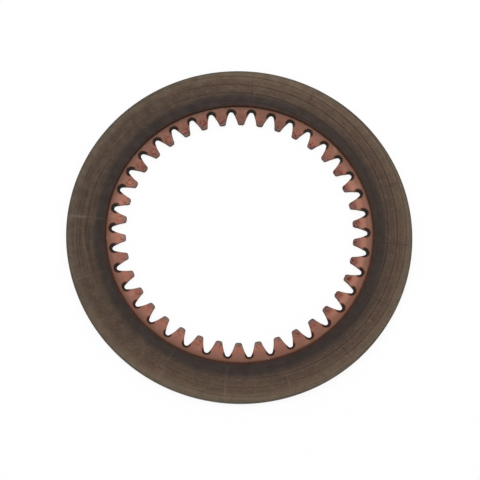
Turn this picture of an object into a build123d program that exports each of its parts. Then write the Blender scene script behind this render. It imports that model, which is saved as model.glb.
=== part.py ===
from build123d import *
import math
import os

# Internally toothed friction disc for a multi-plate wet clutch: a flat steel core plate with
# involute teeth in its bore, and a grooved sintered friction lining bonded to each face.
# The disc's axis is Z. The origin is at the disc's centre, half way through the core plate.
# Sizes are in millimetres and angles in degrees, counter-clockwise from +X.

# Core plate
core_thickness = 1.3
bare_rim_width = 2.65

# Teeth: a full-depth internal involute gear, which slides over the hub's matching teeth
tooth_count = 38
tooth_module = 3.0
pressure_angle = 20.0
addendum_modules = 1.0
dedendum_modules = 1.25
tip_corner_radius = 1.1
first_tooth_angle = 3.83

# Friction linings
lining_width = 18.7
lining_thickness = 0.55
groove_depth = 0.25

# Oil groove that winds outwards, in several starts
spiral_starts = 4
spiral_spacing = 4.32
spiral_groove_width = 0.6
spiral_start_angle = 28.3

# Straight oil grooves, which stop short of the lining's edges
radial_groove_count = 16
radial_groove_width = 0.6
radial_groove_angle = 17.5
radial_groove_margin = 1.6

# Arcs that make up one turn of the spiral, and how far a cutter runs past what it cuts
spiral_arcs = 9
overrun = 1.0

pitch_radius = tooth_module * tooth_count / 2
base_radius = pitch_radius * math.cos(math.radians(pressure_angle))
tip_radius = pitch_radius - addendum_modules * tooth_module
root_radius = pitch_radius + dedendum_modules * tooth_module
tooth_pitch = 360 / tooth_count
first_gap_angle = first_tooth_angle + tooth_pitch / 2
lining_bore_radius = root_radius + bare_rim_width
outer_radius = lining_bore_radius + lining_width
core_top = core_thickness / 2


def involute(angle):
    """The involute function of an angle in radians."""
    return math.tan(angle) - angle


def flank_angle(radius):
    """The involute's own pressure angle at a radius, in radians. Inside the base circle it is nothing."""
    return math.acos(min(base_radius / radius, 1.0))


def gap_half_angle(radius):
    """Half of the angle that a tooth gap takes up at a radius, in radians."""
    at_pitch_circle = math.pi / (2 * tooth_count) + involute(math.radians(pressure_angle))
    return at_pitch_circle - involute(flank_angle(radius))


def flank_point(radius):
    """The upper flank's point at a radius, for a gap whose centre line is +X."""
    half_angle = gap_half_angle(radius)
    return radius * math.cos(half_angle), radius * math.sin(half_angle)


def root_arc_reach(contact_radius):
    """How far out an arc about the gap's centre line reaches, if it touches the flanks at this radius."""
    lean = flank_angle(contact_radius) - gap_half_angle(contact_radius)
    x, y = flank_point(contact_radius)
    arc_radius = y / math.cos(lean)
    return x - arc_radius * math.sin(lean) + arc_radius


def find_contact_radius():
    """The radius where the flanks run into the arc that just reaches the root circle."""
    low, high = pitch_radius, root_radius
    for _ in range(50):
        middle = (low + high) / 2
        if root_arc_reach(middle) < root_radius:
            low = middle
        else:
            high = middle
    return low


contact_radius = find_contact_radius()


def gap_outline():
    """One tooth gap with its centre line on +X, from inside the tip circle to the root arc."""
    radii = [tip_radius, (tip_radius + contact_radius) / 2, contact_radius]
    upper = [flank_point(radius) for radius in radii]
    lower = [(x, -y) for x, y in upper]
    mouth = upper[0][0] - overrun
    edges = [
        ThreePointArc(*upper),
        ThreePointArc(upper[-1], (root_radius, 0), lower[-1]),
        ThreePointArc(*lower),
        Polyline(upper[0], (mouth, upper[0][1]), (mouth, -upper[0][1]), lower[0]),
    ]
    return make_face(edges)


def make_core_plate():
    """The toothed plate. Its outer edge is flush with the linings."""
    gaps = [Rot(0, 0, first_gap_angle + i * tooth_pitch) * gap_outline() for i in range(tooth_count)]
    bore = Circle(tip_radius) + gaps
    tip_corners = [v for v in bore.vertices() if math.hypot(v.X, v.Y) < pitch_radius]
    bore = fillet(tip_corners, tip_corner_radius)
    return extrude(Circle(outer_radius) - bore, core_thickness / 2, both=True)


def spiral_edge(offset):
    """The first start's centre line, moved out by an offset, from inside the bore to past the rim."""
    lead = spiral_starts * spiral_spacing
    turns = (lining_width + 2 * overrun) / lead
    start_angle = spiral_start_angle - 360 * overrun / lead
    halves = 2 * math.ceil(turns * spiral_arcs)
    points = []
    for i in range(halves + 1):
        radius = lining_bore_radius - overrun + offset + lead * turns * i / halves
        angle = math.radians(start_angle + 360 * turns * i / halves)
        points.append((radius * math.cos(angle), radius * math.sin(angle)))
    return [ThreePointArc(*points[i:i + 3]) for i in range(0, halves, 2)]


def spiral_groove(index):
    """The outline of one start of the spiral groove."""
    inner = spiral_edge(-spiral_groove_width / 2)
    outer = spiral_edge(spiral_groove_width / 2)
    ends = [Line(inner[0] @ 0, outer[0] @ 0), Line(inner[-1] @ 1, outer[-1] @ 1)]
    return Rot(0, 0, 360 * index / spiral_starts) * make_face(inner + outer + ends)


def radial_groove(index):
    """The outline of one straight groove."""
    length = lining_width - 2 * radial_groove_margin
    angle = radial_groove_angle + 360 * index / radial_groove_count
    middle = lining_bore_radius + lining_width / 2
    return Rot(0, 0, angle) * Pos(middle, 0) * Rectangle(length, radial_groove_width)


def make_front_lining():
    """The friction ring on the front face: a plain ring that carries the lands between the grooves."""
    ring = Circle(outer_radius) - Circle(lining_bore_radius)
    lands = ring - [spiral_groove(i) for i in range(spiral_starts)]
    lands -= [radial_groove(i) for i in range(radial_groove_count)]
    floor_thickness = lining_thickness - groove_depth
    floor = Pos(0, 0, core_top) * extrude(ring, floor_thickness)
    return floor + Pos(0, 0, core_top + floor_thickness) * extrude(lands, groove_depth)


core_plate = make_core_plate()
front_lining = make_front_lining()
rear_lining = Rot(180, 0, 0) * front_lining

os.makedirs("parts", exist_ok=True)
export_step(core_plate, "parts/core_plate.step")
export_step(front_lining, "parts/front_lining.step")
export_step(rear_lining, "parts/rear_lining.step")
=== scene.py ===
import math

import bmesh
import bpy
import numpy as np
from mathutils import Matrix, Vector


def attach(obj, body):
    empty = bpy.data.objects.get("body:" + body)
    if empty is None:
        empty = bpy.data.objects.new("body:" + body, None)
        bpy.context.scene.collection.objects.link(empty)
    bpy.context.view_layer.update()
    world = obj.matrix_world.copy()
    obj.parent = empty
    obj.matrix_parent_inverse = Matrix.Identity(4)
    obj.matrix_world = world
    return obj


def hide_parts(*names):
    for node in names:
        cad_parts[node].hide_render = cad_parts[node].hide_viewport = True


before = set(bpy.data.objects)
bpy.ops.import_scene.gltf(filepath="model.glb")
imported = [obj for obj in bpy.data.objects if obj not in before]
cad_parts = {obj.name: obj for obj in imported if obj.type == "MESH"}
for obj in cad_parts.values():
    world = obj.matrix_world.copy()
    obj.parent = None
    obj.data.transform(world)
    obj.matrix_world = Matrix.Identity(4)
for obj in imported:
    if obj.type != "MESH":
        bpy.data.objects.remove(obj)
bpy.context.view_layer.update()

# An internally toothed clutch disc, dressed for its photo. Its axis is Z and its centre is the origin.
# Sizes are in millimetres, and MM turns them into Blender's metres. Angles are in radians, counter-clockwise
# from +X, apart from the directions of painted areas, which are in degrees.
MM = 0.001

# The core plate and its teeth, as the CAD model has them
TOOTH_COUNT = 38
TOOTH_MODULE = 3.0
PRESSURE_ANGLE = math.radians(20)
TIP_CORNER = 1.1
PITCH_RADIUS = TOOTH_MODULE * TOOTH_COUNT / 2
BASE_RADIUS = PITCH_RADIUS * math.cos(PRESSURE_ANGLE)
TIP_RADIUS = PITCH_RADIUS - TOOTH_MODULE
ROOT_RADIUS = PITCH_RADIUS + 1.25 * TOOTH_MODULE
TOOTH_PITCH = math.tau / TOOTH_COUNT
FIRST_GAP = math.radians(3.83) + TOOTH_PITCH / 2
CORE_TOP = 0.65

# The linings and their grooves, as the CAD model has them. The straight radial grooves are called spokes.
BORE = 63.4
RIM = 82.1
LINING_TOP = 1.2
GROOVE_DEPTH = 0.25
GROOVE_HALF = 0.3
SPIRAL_STARTS = 4
SPIRAL_SPACING = 4.32
SPIRAL_LEAD = SPIRAL_STARTS * SPIRAL_SPACING
SPIRAL_ANGLE = math.radians(28.3)
SPOKE_COUNT = 16
SPOKE_ANGLE = math.radians(17.5)
SPOKE_PITCH = math.tau / SPOKE_COUNT
SPOKE_MARGIN = 1.6

# Forms that only the scene has: rounded edges, grooves that are worn shallower in places, and the edge that
# punching rolled over round the root of each tooth gap
PLATE_EDGE = 0.13
LINING_EDGE = 0.15
GROOVE_EDGE = 0.02
SPOKE_DEPTH_SHARE = 0.5
DEEPEST_DIRECTION = math.radians(26)
ROLL_CENTRE = 59.9
ROLL_REACH = 2.05
ROLL_START = (58.1, 59.6)
ROLL_STEEPNESS = 1.8
FRONT_ROLL = 0.18
REAR_ROLL = 0.45

# Points along the root, flank, tip corner and tip of half a gap's outline: for the mesh, and to measure from
MESH_POINTS = (9, 8, 6, 3)
DENSE_POINTS = (160, 200, 60, 60)

# Points closer than this become one, edges shorter than this go, and edges sharper than this stay sharp
WELD = 0.002
SLIVER = 0.0005
SHARP_ANGLE = math.radians(32)

# The paint's simpler tooth gap: the centre of its root's arc, its half width at the pitch circle and how that
# changes outwards, as a quadratic, and how far across from its centre line the next tooth's middle lies
ROOT_CENTRE = 59.51
GAP_HALF_WIDTH = 2.356
GAP_SLOPE = -0.311
GAP_CURVE = -0.0321
TOOTH_MIDDLE = 4.65

# Noises are laid out from a place beside the disc, in metres, because they show faint lines along the planes
# through their origin
NOISE_ORIGIN = (0.213, 0.137, 0.041)


def srgb(red, green, blue):
    """A linear colour with alpha from 0-255 display values."""
    def linear(value):
        value /= 255
        return value / 12.92 if value <= 0.04045 else ((value + 0.055) / 1.055) ** 2.4
    return (linear(red), linear(green), linear(blue), 1.0)


# Colours at places along the radius, which are shares of the rim's radius
# The lining's stops from 0.770 to 0.780 and the copper's last stop are painted shade where the lining meets
# the plate
LINING_COLOURS = [(place, srgb(*colour)) for place, colour in (
    (0.770, (60, 36, 26)), (0.776, (30, 13, 7)), (0.780, (60, 30, 18)), (0.787, (47, 38, 35)),
    (0.83, (50, 42, 38)), (0.866, (70, 56, 48)), (0.93, (80, 63, 53)), (0.974, (98, 83, 69)),
    (0.988, (95, 85, 73)), (1.0, (74, 66, 57)),
)]
COPPER_COLOURS = [(place, srgb(*colour)) for place, colour in (
    (0.655, (84, 77, 75)), (0.668, (116, 98, 90)), (0.695, (151, 98, 83)), (0.712, (136, 93, 79)),
    (0.76, (110, 79, 66)), (0.771, (70, 48, 34)),
)]
BARE_BRONZE = srgb(142, 116, 92)
WORN_BRONZE = srgb(140, 116, 94)
DULL_BRONZE = srgb(44, 36, 32)
PALE_COPPER = srgb(178, 124, 106)
DARK_COPPER = srgb(58, 42, 38)

# Where the lining's oil-dark inner band gives way to the worn part, as shares of the rim's radius
BAND_END = (0.83, 0.87)


class Nodes:
    """A node tree, with short calls for the nodes it uses."""

    def __init__(self, tree):
        self.tree = tree
        self.tree.nodes.clear()

    def node(self, kind, inputs=None, **settings):
        made = self.tree.nodes.new(kind)
        for key, value in settings.items():
            setattr(made, key, value)
        for key, value in (inputs or {}).items():
            self.feed(made.inputs[key], value)
        return made

    def feed(self, socket, value):
        if isinstance(value, bpy.types.NodeSocket):
            self.tree.links.new(value, socket)
        else:
            socket.default_value = value

    def math(self, operation, *values):
        return self.node("ShaderNodeMath", dict(enumerate(values)), operation=operation).outputs[0]

    def product(self, first, *others):
        for value in others:
            first = self.math("MULTIPLY", first, value)
        return first

    def scaled(self, value, factor, offset):
        """The value times a factor, plus an offset."""
        return self.math("MULTIPLY_ADD", value, factor, offset)


class DiscMaterial(Nodes):
    """A material in polar coordinates about the disc's axis. Paints are laid over its colour in turn."""

    def __init__(self, name):
        self.material = bpy.data.materials.new(name)
        self.material.use_nodes = True
        super().__init__(self.material.node_tree)
        here = self.node("ShaderNodeTexCoord").outputs
        x, y, self.z = self.split(here["Object"])
        flat = self.vector(x, y)
        self.place = self.vectors("ADD", here["Object"], NOISE_ORIGIN)
        self.radius = self.vectors("LENGTH", flat)
        self.share = self.math("DIVIDE", self.radius, RIM * MM)
        self.angle = self.math("ARCTAN2", y, x)
        self.along = self.vectors("NORMALIZE", flat)
        self.toward_x, self.toward_y, _ = self.split(self.along)
        self.upright = self.math("ABSOLUTE", self.split(here["Normal"])[2])
        self.colour = None

    def vector(self, x, y, z=0.0):
        return self.node("ShaderNodeCombineXYZ", {0: x, 1: y, 2: z}).outputs[0]

    def split(self, vector):
        return self.node("ShaderNodeSeparateXYZ", {0: vector}).outputs

    def vectors(self, operation, *values):
        """A vector calculation. Lengths and dot products come back as numbers."""
        outputs = self.node("ShaderNodeVectorMath", dict(enumerate(values)), operation=operation).outputs
        return outputs["Value" if operation in ("LENGTH", "DOT_PRODUCT") else "Vector"]

    def length(self, x, y):
        return self.vectors("LENGTH", self.vector(x, y))

    def mix(self, factor, a, b):
        return self.node("ShaderNodeMix", {0: factor, 6: a, 7: b}, data_type="RGBA").outputs[2]

    def mix_value(self, factor, a, b):
        return self.node("ShaderNodeMix", {0: factor, 2: a, 3: b}, data_type="FLOAT").outputs[0]

    def step(self, value, low, high, out_low, out_high):
        """Smoothly from out_low at low to out_high at high."""
        made = self.node("ShaderNodeMapRange", {0: value, 1: low, 2: high, 3: out_low, 4: out_high},
                         interpolation_type="SMOOTHSTEP")
        return made.outputs[0]

    def rise(self, value, low, high, top=1.0):
        return self.step(value, low, high, 0.0, top)

    def fall(self, value, low, high, top=1.0):
        return self.step(value, low, high, top, 0.0)

    def band(self, value, low, high, soft):
        """1 between low and high, with soft edges."""
        start = self.rise(value, low - soft, low + soft)
        return self.product(start, self.fall(value, high - soft, high + soft))

    def from_nearest(self, value):
        """How far a value is from the nearest whole number, from -0.5 to 0.5."""
        return self.math("SUBTRACT", self.math("FRACT", self.math("ADD", value, 0.5)), 0.5)

    def toward(self, degrees, reach, soft):
        """1 near a direction from the disc's centre, fading to 0 beyond reach, all in degrees."""
        aim = (math.cos(math.radians(degrees)), math.sin(math.radians(degrees)), 0.0)
        cosine = self.vectors("DOT_PRODUCT", self.along, aim)
        outside = math.cos(math.radians(min(reach + soft, 180)))
        return self.rise(cosine, outside, math.cos(math.radians(reach)))

    def noise(self, vector, scale, detail=2.0, roughness=0.5):
        inputs = {"Vector": vector, "Scale": scale, "Detail": detail, "Roughness": roughness}
        return self.node("ShaderNodeTexNoise", inputs).outputs["Fac"]

    def ring_noise(self, start, spread, fineness, detail, roughness):
        """A noise drawn out along rings: it changes little with direction and quickly with the radius."""
        outwards = self.vector(*start, self.math("MULTIPLY", self.radius, fineness))
        rings = self.vectors("MULTIPLY_ADD", self.along, (spread,) * 3, outwards)
        return self.noise(rings, 1.0, detail, roughness)

    def chance(self, number):
        """A value from 0 to 1 that seems random, the same each time for the same number."""
        return self.node("ShaderNodeTexWhiteNoise", {"W": number}, noise_dimensions="1D").outputs["Value"]

    def ramp(self, value, stops, low, high):
        """A colour ramp whose stops are (value, colour), over the range low to high."""
        span = self.node("ShaderNodeMapRange", {0: value, 1: low, 2: high, 3: 0.0, 4: 1.0})
        made = self.node("ShaderNodeValToRGB", {0: span.outputs[0]})
        elements = made.color_ramp.elements
        while len(elements) < len(stops):
            elements.new(0.5)
        for element, (place, colour) in zip(elements, stops):
            element.position = (place - low) / (high - low)
            element.color = colour
        return made.outputs[0]

    def paint(self, colour, *weights):
        """Lay a colour over what is there, by the product of its weights."""
        self.colour = self.mix(self.product(*weights), self.colour, colour)

    def finish(self, metallic, roughness, relief, strength, distance):
        """Wire up the surface. The relief runs from 0 to 1, and distance is its depth in millimetres."""
        bump = self.node("ShaderNodeBump", {
            "Strength": strength, "Distance": distance * MM, "Height": relief})
        shader = self.node("ShaderNodeBsdfPrincipled", {
            "Base Color": self.colour, "Metallic": metallic, "Roughness": roughness,
            "Normal": bump.outputs[0]})
        self.node("ShaderNodeOutputMaterial", {0: shader.outputs[0]})
        return self.material


def paint_lining_grain(g, outer, calm, patches):
    """Scoring along rings, tints, grain and pores. It returns the relief that scoring and grain make."""
    scoring = g.ring_noise((2.37, 1.61), 1.0, 2600.0, 4.0, 0.65)
    grain = g.noise(g.place, 2300.0, 3.0, 0.65)
    speck = g.noise(g.place, 1100.0, 2.0, 0.6)
    tint = g.noise(g.place, 620.0, 3.0, 0.6)
    g.paint(srgb(52, 42, 36), g.rise(scoring, 0.35, 0.75, 0.25))
    g.paint(srgb(126, 106, 88), g.fall(scoring, 0.25, 0.45, 0.18))
    g.paint(srgb(112, 76, 56), g.rise(tint, 0.50, 0.70, 0.22), outer)
    g.paint(srgb(62, 64, 54), g.fall(tint, 0.30, 0.46, 0.20), outer)
    g.paint(BARE_BRONZE, g.rise(grain, 0.54, 0.72, 0.42), calm)
    g.paint(srgb(36, 30, 28), g.fall(grain, 0.30, 0.46, 0.50))
    g.paint(srgb(46, 32, 26), g.rise(speck, 0.60, 0.72, 0.40))
    g.paint(BARE_BRONZE, g.fall(speck, 0.30, 0.42, 0.16), outer)
    g.paint(srgb(92, 84, 60), g.rise(patches, 0.45, 0.75, 0.20), outer)
    return g.math("ADD", g.math("MULTIPLY", grain, 0.5), g.math("MULTIPLY", scoring, 0.5))


def paint_lining_areas(g, outer):
    """Parts of the lining that are scored, duller or paler than the rest."""
    streaks = g.ring_noise((4.43, 3.71), 2.5, 1500.0, 3.0, 0.6)
    scored = g.product(g.toward(174, 10, 16), g.band(g.share, 0.86, 0.965, 0.02))
    g.paint(srgb(36, 30, 26), scored, g.rise(streaks, 0.50, 0.60, 0.60))
    g.paint(srgb(120, 100, 84), scored, g.fall(streaks, 0.38, 0.46, 0.20))

    dull_left = g.scaled(g.toward(136, 15, 30), 0.18, g.product(g.toward(174, 40, 26), 0.13))
    dull_rim = g.product(g.toward(186, 13, 16), g.rise(g.share, 0.89, 0.95, 0.20))
    g.paint(DULL_BRONZE, g.math("ADD", dull_left, dull_rim), outer)
    g.paint(DULL_BRONZE, g.toward(55, 8, 8), g.rise(g.share, 0.96, 0.975, 0.22))

    inner = g.math("SUBTRACT", 1.0, outer)
    g.paint(srgb(20, 16, 15), g.toward(165, 45, 30), 0.12, inner)
    g.paint(WORN_BRONZE, g.toward(30, 40, 25), 0.02, inner)
    g.paint(srgb(140, 120, 100), g.toward(66, 12, 20), outer, 0.05)


def paint_spiral_grooves(g, turned, outer, calm, open_grooves, patches):
    """A line of painted shade along each groove, a dark line half way between, and paler wear beside the
    grooves.
    """
    rate = SPIRAL_LEAD / math.tau
    first_groove = g.scaled(turned, rate * MM, (BORE - SPIRAL_ANGLE * rate) * MM)
    grooves_out = g.math("DIVIDE", g.math("SUBTRACT", g.radius, first_groove), SPIRAL_SPACING * MM)
    distance = g.math("ABSOLUTE", g.from_nearest(grooves_out))
    clear = g.product(g.step(patches, 0.35, 0.65, 0.4, 1.0), open_grooves)
    g.paint(WORN_BRONZE, g.band(distance, 0.13, 0.24, 0.04), outer, open_grooves, 0.08)
    g.paint(srgb(40, 32, 28), g.rise(distance, 0.465, 0.492), 0.08, clear)
    # Painted shade along the bottom of each groove
    g.paint(srgb(36, 26, 22), g.fall(distance, 0.02, 0.075), 0.11, calm, clear)


def paint_spokes(g, turned, patches):
    """Radial grooves: painted shade in them on the right; painted highlights on their edges at left and
    bottom.
    """
    steps = g.math("DIVIDE", g.math("SUBTRACT", turned, SPOKE_ANGLE), SPOKE_PITCH)
    offset = g.product(g.from_nearest(steps), g.radius, SPOKE_PITCH)
    ends = g.band(g.share, 0.79, 0.98, 0.008)
    line = g.product(g.fall(g.math("ABSOLUTE", offset), 0.1 * MM, 0.4 * MM), ends)
    # Painted shade: dark lines in the grooves on the right
    deep = g.math("MAXIMUM", g.toward(80, 10, 14), g.toward(333, 30, 20))
    depth = g.product(g.scaled(deep, 0.75, 0.25), g.step(g.share, 0.88, 0.94, 0.32, 0.24))
    g.paint(srgb(36, 28, 24), line, g.toward(10, 80, 30), depth)

    # Painted highlights on the groove edges on the left and at the bottom, where a groove's wall catches the
    # light
    left_edge = g.product(g.band(offset, -0.5 * MM, 0.6 * MM, 0.25 * MM), g.toward(183, 12, 7))
    low_edge = g.product(g.band(offset, -1.0 * MM, -0.35 * MM, 0.2 * MM), g.toward(268, 24, 14))
    low_haze = g.product(g.band(offset, -1.0 * MM, 0.5 * MM, 0.2 * MM), g.toward(272, 20, 14), 0.5)
    edge = g.math("MAXIMUM", g.math("MAXIMUM", left_edge, low_edge), low_haze)
    highlight_strength = g.product(g.step(patches, 0.3, 0.65, 0.05, 0.10), g.step(g.share, 0.88, 0.93, 0.5, 1.2))
    g.paint(srgb(160, 138, 120), edge, ends, highlight_strength)


def sintered_bronze():
    """The linings' material: oil-dark near the bore, and worn paler towards the rim."""
    g = DiscMaterial("sintered_bronze")
    # The edge of the dark band wanders, and lies a little further in on the left
    wander = g.scaled(g.noise(g.along, 1.3, 3.0, 0.55), 0.014, -0.007)
    shift = g.scaled(g.toward(200, 25, 45), 0.007, wander)
    worn_share = g.math("ADD", g.share, g.product(shift, g.band(g.share, 0.80, 0.93, 0.02)))
    outer = g.rise(worn_share, *BAND_END)
    calm = g.step(worn_share, *BAND_END, 0.35, 1.0)
    open_grooves = g.toward(340, 75, 50)
    patches = g.noise(g.place, 85.0, 3.0, 0.6)
    # The rear lining is the front one turned over, so its grooves turn the other way
    turned = g.math("MULTIPLY", g.angle, g.math("SIGN", g.z))

    g.colour = g.ramp(worn_share, LINING_COLOURS, 0.77, 1.0)
    relief = paint_lining_grain(g, outer, calm, patches)
    paint_lining_areas(g, outer)
    paint_spiral_grooves(g, turned, outer, calm, open_grooves, patches)
    paint_spokes(g, turned, patches)
    # Painted shade: a dark line along the lining's inner edge, stronger towards the bottom of the disc
    g.paint(srgb(80, 34, 24), g.band(g.share, 0.765, 0.7775, 0.003), g.fall(g.toward_y, -0.5, 0.2, 0.5))
    # Painted shade: faces that are not level, such as groove sides and the lining's edges, are painted darker
    g.paint(srgb(50, 42, 37), g.fall(g.upright, 0.3, 0.75), 0.55)
    roughness = g.step(g.noise(g.place, 240.0), 0.3, 0.7, 0.52, 0.66)
    return g.finish(0.75, roughness, relief, strength=0.35, distance=0.06)


def tooth_places(g):
    """A point's place along and across its tooth gap's centre line, in metres, and its tooth's number."""
    steps = g.math("DIVIDE", g.math("SUBTRACT", g.angle, FIRST_GAP), TOOTH_PITCH)
    turn = g.math("MULTIPLY", g.from_nearest(steps), TOOTH_PITCH)
    gap_x = g.math("MULTIPLY", g.radius, g.math("COSINE", turn))
    gap_y = g.math("MULTIPLY", g.radius, g.math("SINE", turn))
    return gap_x, gap_y, g.math("FLOORED_MODULO", g.math("FLOOR", steps), float(TOOTH_COUNT))


def edge_distance(g, gap_x, gap_y):
    """How far a point is from the edge of its tooth gap, in metres."""
    out = g.math("SUBTRACT", g.radius, PITCH_RADIUS * MM)
    slope = g.scaled(out, GAP_CURVE / MM, GAP_SLOPE)
    half_width = g.scaled(out, slope, GAP_HALF_WIDTH * MM)
    from_flank = g.math("MULTIPLY", g.math("SUBTRACT", g.math("ABSOLUTE", gap_y), half_width), 0.9)
    from_centre = g.length(g.math("SUBTRACT", gap_x, ROOT_CENTRE * MM), gap_y)
    from_root = g.math("SUBTRACT", from_centre, (ROOT_RADIUS - ROOT_CENTRE) * MM)
    side = g.mix_value(g.rise(g.radius, 59.6 * MM, 60.2 * MM), from_flank, from_root)
    return g.math("MINIMUM", side, g.math("SUBTRACT", g.radius, TIP_RADIUS * MM))


def shaded_root_band(g, gap_x, gap_y):
    """Painted shade: a dark band on the rolled-over edge round a gap's root, widest at the top and sides."""
    x = g.math("SUBTRACT", gap_x, g.scaled(g.toward_y, 0.05 * MM, 59.75 * MM))
    y = g.math("SUBTRACT", gap_y, g.math("MULTIPLY", g.toward_x, 0.2 * MM))
    uneven = g.scaled(g.noise(g.place, 900.0), 0.6 * MM, -0.3 * MM)
    lower = g.scaled(g.toward_y, -0.18 * MM, -0.08 * MM)
    wider = g.math("MAXIMUM", g.toward(345, 28, 22), g.toward(178, 22, 22))
    reach = g.math("ADD", g.math("ADD", g.length(x, y), uneven), lower)
    reach = g.scaled(wider, -0.27 * MM, reach)
    return g.product(g.fall(reach, 1.85 * MM, 2.6 * MM), g.rise(g.radius, 57.9 * MM, 59.9 * MM))


def paint_ring_stains(g, gap_x, gap_y, tone, second_tone, spots):
    """Dried rings on some of the teeth, and stronger ones at the upper left."""
    from_tooth = g.math("SUBTRACT", g.math("ABSOLUTE", gap_y), TOOTH_MIDDLE * MM)
    uneven = g.noise(g.place, 520.0)

    middle = g.math("SUBTRACT", gap_x, g.scaled(tone, 1.8 * MM, 55.6 * MM))
    reach = g.scaled(uneven, 1.7 * MM, g.length(middle, from_tooth))
    ring = g.math("ABSOLUTE", g.math("SUBTRACT", reach, g.scaled(second_tone, 0.5 * MM, 1.5 * MM)))
    broken = g.step(spots, 0.42, 0.55, 0.1, 1.0)
    some = g.rise(second_tone, 0.35, 0.6, 0.60)
    g.paint(srgb(104, 54, 44), g.fall(ring, 0.10 * MM, 0.42 * MM), broken, some)

    middle = g.math("SUBTRACT", gap_x, g.scaled(second_tone, 1.4 * MM, 56.4 * MM))
    reach = g.scaled(uneven, 2.4 * MM, g.length(middle, from_tooth))
    ring = g.math("ABSOLUTE", g.math("SUBTRACT", reach, 2.45 * MM))
    broken = g.step(spots, 0.44, 0.54, 0.15, 0.95)
    upper_left = g.toward(126, 32, 6)
    g.paint(srgb(172, 96, 84), g.fall(reach, 2.0 * MM, 2.4 * MM, 0.12), upper_left)
    g.paint(srgb(72, 32, 27), g.fall(ring, 0.08 * MM, 0.42 * MM), broken, upper_left)


def paint_copper_areas(g):
    """Parts of the toothed rim painted darker or paler, with painted shade at the top and light on the right.
    """
    rim = g.rise(g.share, 0.738, 0.752)
    # Painted shade: the teeth at the top are painted darker, most at their tips
    g.paint(DARK_COPPER, g.toward(108, 34, 22), g.step(g.share, 0.70, 0.76, 0.42, 0.15))
    # Painted light: the teeth on the right are painted paler
    g.paint(PALE_COPPER, g.toward(352, 28, 16), g.band(g.share, 0.70, 0.735, 0.012), 0.38)
    g.paint(DARK_COPPER, g.toward(165, 50, 50), rim, 0.20)
    # Painted light: the rim on the right is painted paler
    pale_right = g.scaled(g.toward(340, 35, 12), 0.06, g.product(g.toward(14, 10, 12), 0.07))
    g.paint(PALE_COPPER, pale_right, rim)
    g.paint(srgb(96, 50, 42), g.toward(213, 12, 14), g.step(g.share, 0.69, 0.72, 0.22, 0.06))


def copper_flashed_steel():
    """The core plate's material: copper with stains and specks on its teeth, and painted shade round gaps'
    roots.
    """
    g = DiscMaterial("copper_flashed_steel")
    gap_x, gap_y, tooth = tooth_places(g)
    tone = g.chance(tooth)
    second_tone = g.chance(g.math("ADD", tooth, 60.0))
    cloud = g.noise(g.place, 260.0, 4.0, 0.6)
    fine = g.noise(g.place, 2200.0, 3.0, 0.6)
    spots = g.noise(g.place, 950.0)
    tips = g.fall(g.share, 0.685, 0.715)
    right = g.rise(g.toward_x, 0.1, 0.8)

    g.colour = g.ramp(g.share, COPPER_COLOURS, 0.65, 0.775)
    g.paint(srgb(126, 80, 66), g.rise(cloud, 0.45, 0.7, 0.35))
    g.paint(srgb(162, 118, 102), g.fall(cloud, 0.28, 0.45, 0.3))
    g.paint(srgb(104, 66, 56), tone, g.fall(g.radius, 58.5 * MM, 60.3 * MM, 0.3))
    g.paint(srgb(98, 68, 60), tips, right, 0.55)
    paint_ring_stains(g, gap_x, gap_y, tone, second_tone, spots)
    g.paint(srgb(92, 26, 24), g.rise(spots, 0.545, 0.60), g.scaled(right, 0.55, 0.4), tips)
    paint_copper_areas(g)
    g.paint(srgb(90, 58, 50), g.rise(fine, 0.55, 0.75, 0.25))
    g.paint(srgb(62, 34, 30), g.fall(edge_distance(g, gap_x, gap_y), 0.08 * MM, 0.42 * MM, 0.55))
    g.paint(srgb(96, 72, 62), g.fall(g.upright, 0.2, 0.6), 0.35)
    # Painted shade round each gap's root; its colour changes between the bottom of the disc and the top
    horseshoe = shaded_root_band(g, gap_x, gap_y)
    root_band_shade_colour = g.mix(g.rise(g.toward_y, -0.9, 0.2), srgb(44, 24, 20), srgb(34, 30, 27))
    g.paint(root_band_shade_colour, horseshoe, 0.95)
    roughness = g.scaled(horseshoe, 0.2, g.step(cloud, 0.3, 0.7, 0.42, 0.52))
    return g.finish(0.9, roughness, fine, strength=0.25, distance=0.04)


def involute(angle):
    return math.tan(angle) - angle


def flank_lean(radius):
    """The involute's own pressure angle at a radius."""
    return math.acos(BASE_RADIUS / radius)


def gap_half_angle(radius):
    return math.pi / (2 * TOOTH_COUNT) + involute(PRESSURE_ANGLE) - involute(flank_lean(radius))


def flank_point(radius):
    half = gap_half_angle(radius)
    return np.array([radius * math.cos(half), radius * math.sin(half)])


def root_arc(contact):
    """Centre and radius of the arc that touches the flanks at a radius."""
    lean = flank_lean(contact) - gap_half_angle(contact)
    x, y = flank_point(contact)
    arc = y / math.cos(lean)
    return x - arc * math.sin(lean), arc


def find_contact():
    """The radius where the flanks run into the arc that just reaches the root circle."""
    low, high = PITCH_RADIUS, ROOT_RADIUS
    for _ in range(50):
        middle = (low + high) / 2
        centre, arc = root_arc(middle)
        low, high = (middle, high) if centre + arc < ROOT_RADIUS else (low, middle)
    return low


def circle_through(a, b, c):
    """Centre and radius of the circle through three points."""
    rows = np.array([b - a, c - a])
    right = np.array([b @ b - a @ a, c @ c - a @ a]) / 2
    centre = np.linalg.solve(rows, right)
    return centre, np.linalg.norm(a - centre)


def arc_points(centre, radius, start, stop, count):
    """Points along an arc between two points, both ends included."""
    first = math.atan2(*(start - centre)[::-1])
    last = math.atan2(*(stop - centre)[::-1])
    turn = (last - first + math.pi) % math.tau - math.pi
    angles = first + turn * np.linspace(0, 1, count)
    return centre + radius * np.c_[np.cos(angles), np.sin(angles)]


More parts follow.
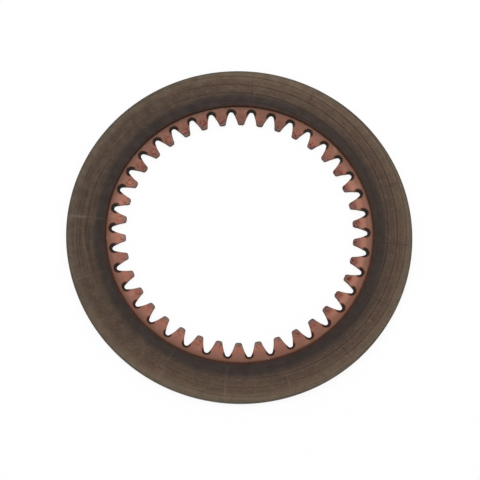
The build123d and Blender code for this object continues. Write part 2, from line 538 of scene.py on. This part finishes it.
def tip_corner_centre(flank_centre, flank_radius):
    """The centre of the round corner between a flank and the tip circle."""
    from_axis = TIP_RADIUS + TIP_CORNER
    from_flank = flank_radius + TIP_CORNER
    apart = np.linalg.norm(flank_centre)
    along = (from_axis ** 2 - from_flank ** 2 + apart ** 2) / (2 * apart)
    across = math.sqrt(from_axis ** 2 - along ** 2)
    unit = flank_centre / apart
    side = np.array([-unit[1], unit[0]])
    corners = [unit * along + side * across, unit * along - side * across]
    just_inside_tooth = gap_half_angle(TIP_RADIUS) + math.radians(0.7)
    return min(corners, key=lambda corner: abs(math.atan2(corner[1], corner[0]) - just_inside_tooth))


def gap_outline(counts):
    """A tooth gap about +X, from mid tooth to mid tooth, with this many points on each arc of a half."""
    contact = find_contact()
    root_x, root_radius = root_arc(contact)
    touch = flank_point(contact)
    flank_centre, flank_radius = circle_through(
        flank_point(TIP_RADIUS), flank_point((TIP_RADIUS + contact) / 2), touch)
    corner = tip_corner_centre(flank_centre, flank_radius)
    on_tip = corner * TIP_RADIUS / (TIP_RADIUS + TIP_CORNER)
    on_flank = flank_centre + (corner - flank_centre) * flank_radius / (flank_radius + TIP_CORNER)
    mid_tooth = TIP_RADIUS * np.array([math.cos(TOOTH_PITCH / 2), math.sin(TOOTH_PITCH / 2)])
    arcs = [
        arc_points(np.array([root_x, 0.0]), root_radius, np.array([ROOT_RADIUS, 0.0]), touch, counts[0]),
        arc_points(flank_centre, flank_radius, touch, on_flank, counts[1]),
        arc_points(corner, TIP_CORNER, on_flank, on_tip, counts[2]),
        arc_points(np.zeros(2), TIP_RADIUS, on_tip, mid_tooth, counts[3]),
    ]
    half = np.concatenate([arcs[0]] + [arc[1:] for arc in arcs[1:]])
    return np.concatenate([half[:0:-1] * (1, -1), half])


def make_piece(name, vertices, quads, material, slot_name):
    """A mesh in metres from millimetre vertices and a list of faces, smooth but for its sharp edges."""
    mesh = bpy.data.meshes.new(name)
    mesh.from_pydata((np.asarray(vertices) * MM).tolist(), [], [tuple(map(int, q)) for q in quads])
    work = bmesh.new()
    work.from_mesh(mesh)
    bmesh.ops.remove_doubles(work, verts=work.verts, dist=WELD * MM)
    bmesh.ops.dissolve_degenerate(work, edges=work.edges, dist=SLIVER * MM)
    bmesh.ops.recalc_face_normals(work, faces=work.faces)
    work.to_mesh(mesh)
    work.free()
    mesh.polygons.foreach_set("use_smooth", [True] * len(mesh.polygons))
    mesh.set_sharp_from_angle(angle=SHARP_ANGLE)
    mesh.materials.append(material)
    piece = bpy.data.objects.new(name, mesh)
    bpy.context.scene.collection.objects.link(piece)
    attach(piece, "root")
    return piece


def grid_quads(rows, columns, closed):
    """Faces between neighbouring rows and columns of a grid whose vertices are stored row by row."""
    i, j = np.meshgrid(np.arange(rows - 1), np.arange(columns if closed else columns - 1), indexing="ij")
    k = (j + 1) % columns
    faces = np.stack([i * columns + j, i * columns + k, (i + 1) * columns + k, (i + 1) * columns + j], -1)
    return faces.reshape(-1, 4)


def edge_drop(distance, radius):
    """How far a rounded edge lies below its face, at a distance in from it."""
    inside = np.clip(radius - distance, 0, radius)
    return radius - np.sqrt(radius ** 2 - inside ** 2)


def smooth(value, low, high):
    """From 0 at low to 1 at high, level at both ends."""
    share = np.clip((value - low) / (high - low), 0, 1)
    return share * share * (3 - 2 * share)


def plate_levels(ring, angle, away):
    """How far the front and rear faces lie from the plate's middle, this far away from the gap's edge."""
    x, y = ring * np.cos(angle), ring * np.sin(angle)
    left = np.clip(ROLL_REACH - np.hypot(x - ROLL_CENTRE, y), 0, None)
    share = away / np.maximum(away + left, 1e-9)
    roll = np.where(left > 0, (1 - share) ** ROLL_STEEPNESS, 0) * smooth(ring, *ROLL_START)
    edge = edge_drop(away, PLATE_EDGE)
    return CORE_TOP - np.maximum(FRONT_ROLL * roll, edge), CORE_TOP - np.maximum(REAR_ROLL * roll, edge)


def make_core_plate():
    """One tooth pitch of the plate, as rings that follow the gap's outline, turned about the axis."""
    outline = gap_outline(MESH_POINTS)[:-1]
    dense = gap_outline(DENSE_POINTS)
    radius = np.hypot(*outline.T)
    angle = np.arctan2(outline[:, 1], outline[:, 0])
    steps_out = [0, 0.035, 0.08, 0.14, 0.22, 0.34, 0.5, 0.7, 0.95, 1.25, 1.6]
    rings = [radius + step for step in steps_out]
    following = rings[-1]
    rings += [following * (1 - share) + (BORE - 0.15) * share for share in np.linspace(0, 1, 7)[1:]]

    profile = []
    for ring in rings:
        x, y = ring * np.cos(angle), ring * np.sin(angle)
        away = np.hypot(x[:, None] - dense[:, 0], y[:, None] - dense[:, 1]).min(1)
        if ring is rings[0]:
            away[:] = 0
        profile.append((ring, *plate_levels(ring, angle, away)))
    round_rings = [(BORE + 0.1, CORE_TOP), (69, CORE_TOP), (75.5, CORE_TOP), (RIM - 0.05, CORE_TOP),
                   (RIM - 0.015, CORE_TOP - 0.015), (RIM, CORE_TOP - 0.05)]
    for ring, level in round_rings:
        level = np.full(len(angle), level)
        profile.append((np.full(len(angle), float(ring)), level, level))

    # In along the front, down the wall of the gap, out along the rear and up the rim
    edge, edge_front, edge_rear = profile[0]
    rim, rim_front, _ = profile[-1]
    loop = [(ring, front) for ring, front, _ in reversed(profile)]
    loop += [(edge, edge_front * (1 - share) - edge_rear * share) for share in (0.25, 0.5, 0.75)]
    loop += [(ring, -rear) for ring, _, rear in profile]
    loop += [(rim, -rim_front * share) for share in (0.5, 0.0, -0.5)]

    turns = FIRST_GAP + TOOTH_PITCH * np.arange(TOOTH_COUNT)
    around = (turns[:, None] + angle[None, :]).ravel()
    rows = []
    for ring, level in loop:
        ring, level = np.tile(ring, TOOTH_COUNT), np.tile(level, TOOTH_COUNT)
        rows.append(np.c_[ring * np.cos(around), ring * np.sin(around), level])
    rows.append(rows[0])
    return np.concatenate(rows), grid_quads(len(rows), len(around), True)


def spiral_radius(angle, turn):
    """Where a groove crosses a direction; turn counts the crossings outwards."""
    return BORE + SPIRAL_LEAD * (angle - SPIRAL_ANGLE) / math.tau + turn * SPIRAL_SPACING


def groove_profile(distance):
    """Depth of a groove's section at a distance from its centre line, as a share of the whole depth."""
    return 1 - smooth(np.abs(distance), GROOVE_EDGE, GROOVE_HALF + GROOVE_EDGE)


def groove_share(radius, angle):
    """How much of a groove's depth wear and grit have left open: less on the left and near the bore."""
    by_direction = 0.16 + 0.58 * smooth(np.cos(angle - DEEPEST_DIRECTION), -0.95, 0.7)
    return by_direction * (0.7 + 0.3 * smooth(radius, 67.5, 70.5))


def lining_height(radius, angle, spoke_offset):
    """How high a lining's face lies, with its grooves and its rounded edges."""
    phase = (radius - spiral_radius(angle, 0)) / SPIRAL_SPACING
    from_spiral = (phase - np.round(phase)) * SPIRAL_SPACING
    beyond_ends = SPOKE_MARGIN - 0.25, SPOKE_MARGIN + 0.25
    ends = smooth(radius - BORE, *beyond_ends) * smooth(RIM - radius, *beyond_ends)
    spoke = groove_profile(spoke_offset) * ends * SPOKE_DEPTH_SHARE
    depth = np.maximum(groove_profile(from_spiral), spoke) * groove_share(radius, angle) * GROOVE_DEPTH
    edge = np.maximum(edge_drop(radius - BORE, LINING_EDGE), edge_drop(RIM - radius, LINING_EDGE))
    return LINING_TOP - np.maximum(depth, edge)


def lining_columns():
    """The grid's radial lines: each has a spoke's direction, an offset from that spoke and a turn from it."""
    offsets = [-0.34, -0.3, -0.22, -0.12, 0, 0.12, 0.22, 0.3, 0.34]
    clear = 0.5 / BORE
    columns = []
    for spoke in SPOKE_ANGLE + SPOKE_PITCH * np.arange(SPOKE_COUNT):
        columns += [(spoke, offset, 0.0) for offset in offsets]
        columns += [(spoke, 0.0, turn) for turn in np.linspace(clear, SPOKE_PITCH - clear, 30)]
    return columns + [(SPOKE_ANGLE + math.tau, offsets[0], 0.0)]


def make_lining():
    """A polar grid whose lines follow the grooves, so that each groove has its own clean section."""
    middle = 72.0
    across = [-0.35, -0.29, -0.21, -0.12, 0, 0.12, 0.21, 0.29, 0.35]
    land = np.linspace(across[-1], SPIRAL_SPACING + across[0], 6)[1:-1]
    lines = np.concatenate([across, land])
    crossings = np.arange(-4, 5)
    turns = np.repeat(crossings, len(lines))
    offsets = np.tile(lines, len(crossings))
    first, last = BORE + LINING_EDGE, RIM - LINING_EDGE
    bore_wall = [(BORE + 0.03, CORE_TOP), (BORE, CORE_TOP + 0.04), (BORE, CORE_TOP + 0.3)]
    rim_wall = [(RIM, CORE_TOP + 0.3), (RIM, CORE_TOP + 0.04), (RIM - 0.03, CORE_TOP)]
    underside = [(76, CORE_TOP), (70, CORE_TOP), bore_wall[0]]

    table = []
    for spoke, offset, turn in lining_columns():
        # The angle of a line beside a spoke changes with the radius, so a few rounds settle the crossings
        radius = np.full(len(turns), middle)
        for _ in range(4):
            nearby = np.clip(radius, first, last)
            radius = spiral_radius(spoke + turn + np.arcsin(offset / nearby), turns) + offsets
        radius = np.concatenate([[BORE, BORE + 0.02, BORE + 0.06, first], np.clip(radius, first, last),
                                 [last, RIM - 0.06, RIM - 0.02, RIM]])
        spoke_offset = offset + radius * np.sin(min(turn, SPOKE_PITCH - turn))
        level = lining_height(radius, spoke + turn + np.arcsin(offset / radius), spoke_offset)
        section = np.concatenate([bore_wall, np.c_[radius, level], rim_wall, underside])
        radius, level = section.T
        angle = spoke + turn + np.arcsin(offset / radius)
        table.append(np.c_[radius * np.cos(angle), radius * np.sin(angle), level])
    return np.concatenate(table), grid_quads(len(table), len(table[0]), False)


bronze = sintered_bronze()
copper = copper_flashed_steel()
core_piece = make_piece("core_plate_detail", *make_core_plate(), copper, "copper_flashed_steel")
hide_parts("core_plate")
lining_vertices, lining_quads = make_lining()
front_piece = make_piece("front_lining_detail", lining_vertices, lining_quads, bronze, "sintered_bronze")
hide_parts("front_lining")
rear_vertices = lining_vertices * (1, -1, -1)
rear_piece = make_piece("rear_lining_detail", rear_vertices, lining_quads, bronze, "sintered_bronze")
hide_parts("rear_lining")


def pale_where_seen(nodes, plain, pale):
    """Shader plain, but pale for camera, glossy and transmission rays."""
    rays = nodes.node("ShaderNodeLightPath").outputs
    seen = nodes.math("MAXIMUM", rays["Is Camera Ray"], rays["Is Glossy Ray"])
    seen = nodes.math("MAXIMUM", seen, rays["Is Transmission Ray"])
    return nodes.node("ShaderNodeMixShader", {0: seen, 1: plain, 2: pale}).outputs[0]


def make_floor():
    """A white floor under the disc. To the camera it is mostly glow, so that the shadow on it stays faint."""
    material = bpy.data.materials.new("floor_white")
    material.use_nodes = True
    nodes = Nodes(material.node_tree)
    plain = nodes.node("ShaderNodeBsdfDiffuse", {"Color": (0.86, 0.86, 0.86, 1)})
    bright = nodes.node("ShaderNodeBsdfDiffuse", {"Color": (0.95, 0.95, 0.95, 1)})
    glow = nodes.node("ShaderNodeEmission", {"Color": (1, 1, 1, 1), "Strength": 1.0})
    shaded = nodes.node("ShaderNodeMixShader", {0: 0.9, 1: bright.outputs[0], 2: glow.outputs[0]})
    surface = pale_where_seen(nodes, plain.outputs[0], shaded.outputs[0])
    nodes.node("ShaderNodeOutputMaterial", {0: surface})

    half, z = 3.0, -LINING_TOP * MM
    corners = [(-half, -half, z), (half, -half, z), (half, half, z), (-half, half, z)]
    mesh = bpy.data.meshes.new("floor")
    mesh.from_pydata(corners, [], [(0, 1, 2, 3)])
    mesh.materials.append(material)
    floor = bpy.data.objects.new("floor", mesh)
    bpy.context.scene.collection.objects.link(floor)


def make_world():
    world = bpy.data.worlds.new("studio")
    bpy.context.scene.world = world
    world.use_nodes = True
    nodes = Nodes(world.node_tree)
    plain = nodes.node("ShaderNodeBackground", {"Color": (1, 1, 1, 1), "Strength": 0.8})
    pale = nodes.node("ShaderNodeBackground", {"Color": (1, 1, 1, 1), "Strength": 1.0})
    surface = pale_where_seen(nodes, plain.outputs[0], pale.outputs[0])
    nodes.node("ShaderNodeOutputWorld", {0: surface})


def make_lamp(name, place, size, power):
    """A round lamp that points at the disc, with its place and size in metres."""
    data = bpy.data.lights.new(name, "AREA")
    data.shape = "DISK"
    data.size = size
    data.energy = power
    lamp = bpy.data.objects.new(name, data)
    lamp.location = place
    lamp.rotation_euler = (-Vector(place)).to_track_quat("-Z", "Y").to_euler()
    bpy.context.scene.collection.objects.link(lamp)


def make_camera():
    """The photo's own view: down the axis, but tilted about a line that lies at the roll's angle to X."""
    tilt = math.radians(16.7098)
    roll = math.radians(-5.8716)
    distance = 6.87943 * RIM * MM
    focal_pixels, picture_pixels, sensor_width = 1188.7, 480, 36.0
    data = bpy.data.cameras.new("camera")
    data.sensor_width = sensor_width
    data.lens = focal_pixels / picture_pixels * sensor_width
    data.shift_x = 0.0003
    data.shift_y = -0.0187
    data.clip_start = 0.01
    data.clip_end = 20.0
    camera = bpy.data.objects.new("camera", data)
    view = Matrix.Rotation(roll, 3, "Z") @ Matrix.Rotation(-tilt, 3, "X") @ Matrix.Rotation(-roll, 3, "Z")
    turn = view.transposed()
    camera.matrix_world = Matrix.Translation(turn.col[2] * distance) @ turn.to_4x4()
    bpy.context.scene.collection.objects.link(camera)
    bpy.context.scene.camera = camera


make_floor()
make_world()
make_lamp("key", (-0.3, 0.6, 0.95), 0.8, 3.6)
make_lamp("fill", (0.7, -0.5, 0.9), 1.2, 1.0)
make_camera()
bpy.context.scene.view_settings.view_transform = "Standard"
